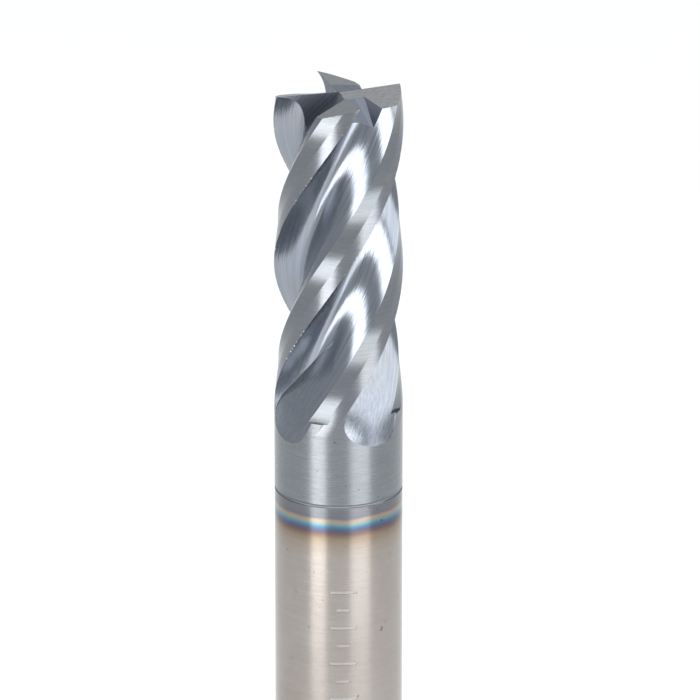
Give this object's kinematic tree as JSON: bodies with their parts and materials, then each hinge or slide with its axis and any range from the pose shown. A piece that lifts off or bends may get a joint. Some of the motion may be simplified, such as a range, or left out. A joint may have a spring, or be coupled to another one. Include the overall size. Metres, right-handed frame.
{
  "type": "square end mill",
  "caption": "Square-ended helical end mill: a fluted carbide cutting head brazed to a plain round steel shank, standing tip up.",
  "frame": {"origin": "centre of the shank's flat end face", "axes": "+Z along the tool's axis, from the shank's end face to the cutting tip; one of the two long end teeth has its corner 19.5 degrees from +X"},
  "size_m": [0.0064, 0.0064, 0.0762],
  "materials": {
    "coated_carbide": "ground and coated, satin grey",
    "silver_solder": "dull, as brazed",
    "ground_steel": "cylindrically ground, bright"
  },
  "bodies": {
    "root": {"cutting_head": "coated_carbide", "braze_filler": "silver_solder", "shank": "ground_steel"}
  },
  "joints": []
}
